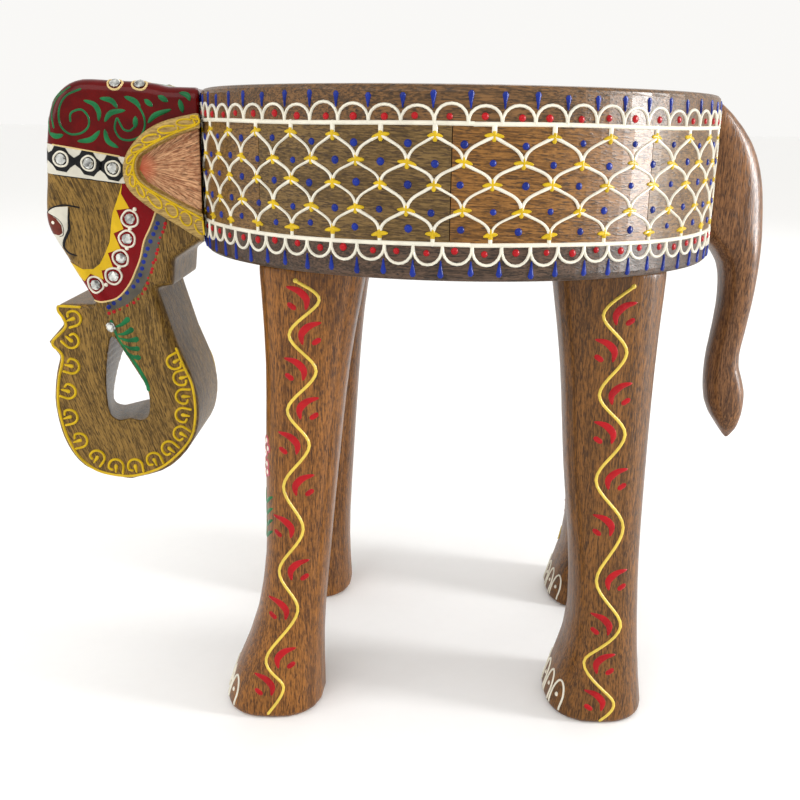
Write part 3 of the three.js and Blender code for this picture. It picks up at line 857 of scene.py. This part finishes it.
crown_scrolls = [
    [(-50, 6), (-46, 11), (-40, 11), (-37, 6.4), (-40, 3), (-43.4, 5.4), (-42, 8)],
    [(-33, 5), (-27, 9.6), (-20, 9.6), (-16.4, 5), (-20, 2.4), (-23.6, 5)],
    [(-48, 15), (-42, 18.6), (-35, 17)],
    [(-31, 14), (-24, 18), (-16, 15.6)],
    [(-12, 4), (-7, 8), (-2, 6)],
    [(-11, 12), (-6, 15), (0, 12.6)],
]
for across_side in (-1, 1):
    for path in crown_scrolls:
        bead(scrolls, flowing([(x, y * across_side) for x, y in path]), on_crown, swelling(2.2, 0.9), 0.3)
for side, place in near.items():
    for path in spirals:
        bead(scrolls, flowing(path), place, 1.3, 0.42)
    for path in leaves:
        bead(scrolls, flowing(path), place, swelling(3.1, 0.9), 0.5)
    bead(cream, [(x, cap_edge(x)) for x in range(-72, -32, 4)], place, 0.9, 0.5)
    bead(cream, flowing([(-53.5, -65.6), *strap_outer[2:]]), place, 1.1, 0.6)
    wash.append(film(head_shape, wash_outline, 0.1, lambda at, side=side: at.y * side > 20))
    path = flowing(blue_row, 14)
    for number in range(blue_count):
        dot(blue, place(*path[round(number / (blue_count - 1) * (len(path) - 1))]), 1.25, 0.35)
    path = flowing(red_row, 10)
    for number in range(red_count):
        x, z = path[round(number / (red_count - 1) * (len(path) - 1))]
        dot(red, place(x + hand.uniform(-0.5, 0.5), z + hand.uniform(-0.5, 0.5)), hand.uniform(0.6, 1), 0.25)
grey_wash = paint("grey wash", (0.1, 0.09, 0.07), 0.7, 0.5, 0.05)
cream_paint = paint("cream enamel", (0.68, 0.5, 0.22), 0.9)
lay("cap_scrolls", scrolls, green_paint)
lay("band_lines", cream, cream_paint)
lay("strap_wash", joined(wash), grey_wash)
lay("strap_blue_dots", blue, blue_paint)
lay("strap_red_dots", red, red_paint)

# ---- The eyes ------------------------------------------------------------------------------------
# Painted across the front corner of the head: white, a brown iris with a white dot for a painted highlight,
# black outlines.
eye_white = [
    (-80, -23), (-73.8, -21.5), (-69.7, -19), (-63, -18.6), (-63.6, -24.2), (-64, -30),
    (-66.6, -35), (-66.6, -38.6), (-78, -38),
]
eye_iris = [
    (-80, -21.6), (-73, -22), (-69.3, -24.5), (-66.9, -27.8), (-66.5, -31.6), (-68.3, -32.8), (-80, -31),
]
brow_line = [(-74, -21.8), (-71.5, -19.6), (-66, -18), (-62, -18.2), (-57.6, -19)]
lid = [(-62.4, -18.8), (-63, -24.2), (-63.3, -30), (-66, -35.4), (-66.6, -39), (-64.2, -41.6), (-60, -43)]
iris_line = [(-73.6, -22), (-69.2, -24.2), (-66.4, -27.6), (-66.2, -32.4), (-68.2, -33.4)]
white_inner, iris_inner = 24, 27
white_parts, iris_parts, light, outlines = [], [], bmesh.new(), bmesh.new()
for side, place in near.items():
    white_parts.append(film(head_shape, eye_white, 0.14, inner=side * white_inner))
    iris_parts.append(film(head_shape, eye_iris, 0.26, inner=side * iris_inner))
    # The white dot on each iris is a painted highlight, not a mark on the real eye.
    dot(light, place(-71, -26.6), 1.1, 0.4)
    bead(outlines, flowing(brow_line), place, 0.9, 0.4)
    bead(outlines, flowing(lid), place, swelling(1.7, 0.4), 0.4)
    bead(outlines, flowing(iris_line), place, 0.6, 0.4)
brown = paint("iris brown", (0.13, 0.022, 0.012), 0.6)
lay("eye_whites", joined(white_parts), band_white)
lay("eye_irises", joined(iris_parts), brown)
lay("eye_painted_highlights", light, white_paint)
lay("eye_outlines", outlines, black_paint)

# ---- The mirrors ---------------------------------------------------------------------------------
# Small chips of mirror glass, glued in and ringed with raised paint. White dots lie between the
# ones on the strap.
chip_size, chip_height = 0.8, 0.55
ring_radius, strap_ring_radius = 3.5, 4.1
ring_steps, ring_start = 24, 0.4
chip_wear = 0.25
mirror_names = sorted(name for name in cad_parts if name.startswith("mirror_"))


def mirror_glass():
    material = bpy.data.materials.new("mirror glass")
    material.use_nodes = True
    tree = material.node_tree
    shader = tree.nodes["Principled BSDF"]
    spot = tree.nodes.new("ShaderNodeTexCoord").outputs["Object"]
    # The chips' dark and silver patches are a painted reflection, mixed into the glass's base colour.
    cells = add(tree, "ShaderNodeTexVoronoi", {"Vector": spot, "Scale": 520.0}).outputs["Color"]
    cloud = add(tree, "ShaderNodeTexNoise", {"Vector": spot, "Scale": 420.0, "Detail": 3.0}).outputs[0]
    tone = mixed(tree, 0.6, cells, cloud)
    grey = add(tree, "ShaderNodeRGBToBW", {"Color": tone}).outputs[0]
    painted_reflection = ranged(tree, grey, 0.3, 0.65)
    colour = mixed(tree, painted_reflection, (0.1, 0.1, 0.1, 1), (0.75, 0.76, 0.72, 1))
    tree.links.new(colour, shader.inputs["Base Color"])
    shader.inputs["Metallic"].default_value = 0.55
    shader.inputs["Roughness"].default_value = 0.14
    return material


glass = mirror_glass()
ring_white, ring_cream = bmesh.new(), bmesh.new()
for number, node in enumerate(mirror_names):
    shape = cad_shape(node)
    centre = sum((vert.co for vert in shape.verts), Vector()) / len(shape.verts)
    hit, up, _, _ = head_surface.find_nearest(centre)
    bmesh.ops.subdivide_edges(shape, edges=shape.edges[:], cuts=1, use_grid_fill=True)
    for vert in shape.verts:
        rise = (vert.co - hit).dot(up)
        level = hit + up * rise * chip_height
        beside = vert.co - hit - up * rise
        uneven = 1 - chip_wear * abs(noise.noise(vert.co * 0.5 + Vector((number, 0, 0))))
        vert.co = level + beside * chip_size * uneven
    chip = make(f"{node}_glass", shape, glass, sharp=15)
    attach(chip, "root")
    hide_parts(node)
    if "trunk" in node:
        continue
    radius = strap_ring_radius if "cheek" in node else ring_radius
    across = up.orthogonal().normalized()
    other = up.cross(across)

    def round_mirror(turn, _):
        way = across * math.cos(turn) + other * math.sin(turn) * (1 + 0.06 * math.sin(3 * turn + number))
        spot, spot_up, _, _ = head_surface.find_nearest(hit + way * radius)
        return spot, spot_up

    ring = ring_cream if "crown" in node else ring_white
    path = [(math.tau * i / ring_steps + ring_start, 0) for i in range(ring_steps + 1)]
    bead(ring, path, round_mirror, 1.2, 0.9)

strap_dots = [(-29.9, -19.4), (-32.8, -29), (-34.9, -38.7), (-39.7, -48.6), (-46.8, -57.4)]
for place in near.values():
    for x, z in strap_dots:
        dot(ring_white, place(x, z), 1.15, 0.8)
lay("mirror_white_rings", ring_white, white_paint)
lay("mirror_cream_rings", ring_cream, cream_paint)

# ---- The painting on the trunk -------------------------------------------------------------------
# A raised yellow line follows the outer edge of the loop, with a row of yellow loops inside it. A
# green stem with brush leaves follows the slanting edge of the hole.
trunk_edge = [
    (-62, -69.6), (-72.2, -69.4), (-73.4, -71.4), (-69.8, -79.4), (-77.6, -88.6), (-72.8, -95.4),
    (-75.6, -108), (-77, -121), (-75.4, -132.6), (-72.2, -143), (-67.2, -151.6), (-58.3, -158.4),
    (-46.1, -161), (-36.2, -160.2), (-24.5, -155.8), (-14.3, -147.4), (-7.6, -138.4),
    (-5.2, -128.6), (-5, -118.6), (-6.6, -108.6), (-10.2, -99.6), (-13.6, -90.6),
]
trunk_loops = [
    (-65.7, -75.6), (-67.6, -87.2), (-68.4, -100.8), (-71.2, -114.4), (-71.3, -128.4),
    (-67, -141.4), (-58.4, -150.8), (-48.6, -155.6), (-38.3, -155.4), (-28, -151.6), (-19.6, -145),
    (-12.9, -136.6), (-11.4, -126.4), (-10.8, -116.2), (-11.6, -106.2), (-14.4, -97.4),
]
loop_half = 3.9
loop_height, loop_steps = 0.8, 8
stem = [(-45.5, -76.2), (-43.4, -84), (-39.4, -92), (-34.6, -99.5), (-30.4, -107.6), (-29, -113)]
stem_leaves = [
    ((-43.6, -79), (-37.2, -75.2)),
    ((-42.6, -83), (-35.6, -80.6)),
    ((-42, -85), (-33.4, -85.7)),
    ((-40.4, -88.6), (-33.2, -90.6)),
    ((-38, -93), (-33, -95.4)),
]
leaf_sag = 0.8
lines, green = bmesh.new(), bmesh.new()


def nearest_on(path, point):
    return min(path, key=lambda spot: math.dist(spot, point))


for place in near.values():
    edge = flowing(trunk_edge, 8)
    bead(lines, edge, place, 1.5, loop_height)
    for point in trunk_loops:
        rim = nearest_on(edge, point)
        inward = (Vector(point) - Vector(rim)).normalized()
        beside = Vector((-inward.y, inward.x))
        middle = Vector(point)
        path = [middle - inward * 3.6 - beside * loop_half * 0.95]
        for i in range(loop_steps + 1):
            turn = math.pi * (i / loop_steps) * 1.15 - 0.1
            out = inward * (loop_half * math.sin(turn))
            path.append(middle - beside * loop_half * math.cos(turn) + out)
        path.append(middle - inward * 2.2 + beside * loop_half * 0.5)
        bead(lines, flowing([tuple(p) for p in path], 3), place, 1.45, loop_height)
        stroke = [tuple(middle - inward * (3.4 - 1.2 * i)) for i in range(4)]
        bead(lines, stroke, place, lambda part: 1 + 1.3 * part, loop_height)
    bead(green, flowing(stem), place, 2.2, 0.35)
    for start, tip in stem_leaves:
        middle = ((start[0] + tip[0]) / 2, (start[1] + tip[1]) / 2 - leaf_sag)
        bead(green, flowing([start, middle, tip]), place, lambda part: 0.8 + 2.6 * part, 0.4)
lay("trunk_yellow_loops", lines, yellow_paint)
lay("trunk_green_leaves", green, green_paint)

# ---- The ears ------------------------------------------------------------------------------------
# Each ear is a small board, hollowed on its face, glued and pinned beside the head. Its hollow is
# brushed salmon pink, strongest at the point, and its rim carries a row of yellow loops.
ear_wood = wood("ear wood", (0.46, 0.31, 0.09), (0.27, 0.165, 0.045), (0.12, 0.07, 0.02))
hollow = [
    (13, 22.2), (4.6, 20.2), (-4.3, 16.4), (-15.6, 10.9), (-22.6, 6.4), (-24.3, 0.4), (-20.8, -5.6),
    (-8, -13), (3.8, -18.6), (13, -23),
]
glitter = [(13, 25.6), (5.9, 25.9), (6.4, 18.6), (13, 17)]
rim_inner = [
    (5.2, 25.3), (5.4, 21.8), (-5.3, 17.7), (-16.1, 12.6), (-23.9, 7.6), (-26.2, 2.2),
    (-25.4, -3.2), (-21.4, -7.6), (-8.8, -14.7), (-0.2, -19.2), (8.4, -23.6),
]
rim_outer = [
    (4, 25.6), (-1.4, 25), (-11, 21.6), (-20, 16.8), (-27, 10.8), (-30, 4.6), (-30.4, -2),
    (-28, -8.4), (-22, -14.4), (-14, -20), (-7.4, -24.2), (0, -28.6), (8, -33.2),
]
loop_count, loop_points = 13, 16
hollow_depths = (3, 6.5)


def salmon():
    pale, dark, pore = (0.66, 0.37, 0.19), (0.27, 0.1, 0.042), (0.12, 0.05, 0.022)
    material = wood("salmon brushwork", pale, dark, pore, 0.08)
    tree = material.node_tree
    shader = tree.nodes["Principled BSDF"]
    plain = shader.inputs["Base Color"].links[0].from_socket
    grain = add(tree, "ShaderNodeAttribute", {}, attribute_name="grain").outputs["Vector"]
    along = add(tree, "ShaderNodeSeparateXYZ", {"Vector": grain}).outputs[0]
    strong = ranged(tree, along, 11.0, 2.0)
    most = add(tree, "ShaderNodeMath", {0: strong, 1: 0.8}, operation="MULTIPLY").outputs[0]
    tree.links.new(mixed(tree, most, plain, (0.62, 0.1, 0.04, 1)), shader.inputs["Base Color"])
    return material


# The brush went out from the point of the hollow like rays.
def ray_grain(at):
    x, z = at.x - head_x + 26, at.z - drum_middle - 1
    return Vector((math.hypot(x, z), math.atan2(z, x) * 22, 0))


def slanting_grain(at):
    return Vector((at.x + at.z, at.z * 2, at.y + 300))


salmon_paint = salmon()
glitter_paint = paint("purple glitter", (0.12, 0.1, 0.15), 0.15, 0.35, 0.6)
for side, name in sides.items():
    node = f"ear_{name}"
    shape = rounded(node, 0.8, 4)
    surface = BVHTree.FromBMesh(shape)
    face_y = max(side * corner.y for corner in in_mm(node))

    def depth(at):
        return face_y - side * at.y

    place = seen_from(surface, Vector((0, -side, 0)), head_x, drum_middle)
    lining = film(shape, hollow, 0.12, lambda at: hollow_depths[0] < depth(at) < hollow_depths[1])
    patch = film(shape, glitter, 0.16, lambda at: depth(at) < hollow_depths[1])
    lined = make(f"{node}_lining", lining, salmon_paint, ray_grain)
    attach(lined, "root")
    lay(f"{node}_glitter", patch, glitter_paint)
    lines = bmesh.new()
    inner, outer = flowing(rim_inner, 30), flowing(rim_outer, 30)
    bead(lines, inner[::6], place, 1.2, 0.6)
    for number in range(loop_count):
        path = []
        for i in range(loop_points + 1):
            turn = math.radians(-70 + 330 * i / loop_points)
            along = (number + 0.5 + 0.4 * math.sin(turn)) / loop_count
            a = inner[round(along * (len(inner) - 1))]
            b = outer[round(along * (len(outer) - 1))]
            reach = 0.46 - 0.36 * math.cos(turn)
            path.append((a[0] + (b[0] - a[0]) * reach, a[1] + (b[1] - a[1]) * reach))
        bead(lines, path, place, 1.05, 0.55)
    lay(f"{node}_yellow_loops", lines, yellow_paint)
    ear = make(f"{node}_wood", shape, ear_wood, slanting_grain)
    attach(ear, "root")
    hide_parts(node)

# ---- The tail ------------------------------------------------------------------------------------
# Carved from a thin board to an S and sanded round, with a tuft at its end. Its grain runs upright.
tail_wood = wood("tail wood", (0.24, 0.105, 0.036), (0.08, 0.031, 0.009), (0.035, 0.013, 0.004))
tail = make("tail_wood", rounded("tail", 1.2, 16), tail_wood, upright_grain(9))
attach(tail, "root")
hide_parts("tail")

# ---- The hidden fixings --------------------------------------------------------------------------
# Zinc-plated hanger bolts and tee nuts hold the legs. Plain beech dowels hold the head and tail.
def zinc():
    material = bpy.data.materials.new("zinc")
    material.use_nodes = True
    tree = material.node_tree
    shader = tree.nodes["Principled BSDF"]
    spot = tree.nodes.new("ShaderNodeTexCoord").outputs["Object"]
    cloud = add(tree, "ShaderNodeTexNoise", {"Vector": spot, "Scale": 300.0, "Detail": 4.0}).outputs[0]
    spangle = mixed(tree, cloud, (0.42, 0.43, 0.45, 1), (0.7, 0.7, 0.68, 1))
    tree.links.new(spangle, shader.inputs["Base Color"])
    tree.links.new(ranged(tree, cloud, -0.4, 1.6), shader.inputs["Roughness"])
    shader.inputs["Metallic"].default_value = 1.0
    return material


zinc_plate = zinc()
dowel_wood = paint("beech dowel", (0.6, 0.42, 0.25), 0.85, 0.6, 0.0)
for node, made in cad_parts.items():
    if node.startswith(("leg_bolt", "leg_nut")):
        made.data.materials.clear()
        made.data.materials.append(zinc_plate)
    if "dowel" in node:
        made.data.materials.clear()
        made.data.materials.append(dowel_wood)

# ---- The room ------------------------------------------------------------------------------------
# A pale floor and a bright room, wide soft lights in front, behind and before the face, and a tall
# window at the tail end. A gleam that only shines back from varnish runs down the drum.
floor_half = 60000
floor_shape = bmesh.new()
bmesh.ops.create_grid(floor_shape, x_segments=1, y_segments=1, size=floor_half)
floor_paint = paint("pale floor", (0.97, 0.97, 0.965), 0.99, 0.8, 0.0)
floor = make("floor", floor_shape, floor_paint)

world = bpy.data.worlds.new("bright room")
world.use_nodes = True
sky = world.node_tree.nodes["Background"].inputs
sky["Color"].default_value = (1, 0.99, 0.97, 1)
sky["Strength"].default_value = 0.95
bpy.context.scene.world = world
target = Vector((drum_x * mm, 0, 0.2))


def softbox(name, place, wide, high, power):
    data = bpy.data.lights.new(name, "AREA")
    data.shape = "RECTANGLE"
    data.size = wide
    data.size_y = high
    data.energy = power
    lamp = bpy.data.objects.new(name, data)
    lamp.location = place
    lamp.rotation_euler = (target - Vector(place)).to_track_quat("-Z", "Y").to_euler()
    bpy.context.scene.collection.objects.link(lamp)
    return lamp


window_turn, window_away, window_up = math.radians(77), 1.5, 0.55
softbox("front light", (-0.7, -1.9, 1.7), 1.6, 1.2, 12.5)
softbox("face light", (-1.6, -0.9, 0.9), 0.7, 0.9, 6)
window_place = (window_away * math.sin(window_turn), -window_away * math.cos(window_turn), window_up)
softbox("window", window_place, 0.26, 0.9, 16)
gleam = softbox("window gleam", window_place, 0.26, 0.9, 60)
gleam.visible_diffuse = False
softbox("back light", (0.6, 1.8, 1.7), 1.6, 1.0, 8)
bpy.context.scene.view_settings.view_transform = "Standard"

# ---- The camera ----------------------------------------------------------------------------------
# At the stool's left side, a hand above the seat and close to it, looking a little down.
camera_data = bpy.data.cameras.new("camera")
camera_data.lens = 44.1
camera = bpy.data.objects.new("camera", camera_data)
camera_back, camera_up, camera_side = 0.525, 0.289, -0.0271
look_down, roll = math.radians(15.64), 0.016
camera.matrix_world = (
    Matrix.Translation((drum_x * mm + camera_side, -camera_back, camera_up))
    @ Matrix.Rotation(math.pi / 2 - look_down, 4, "X")
    @ Matrix.Rotation(roll, 4, "Z")
)
bpy.context.scene.collection.objects.link(camera)
bpy.context.scene.camera = camera
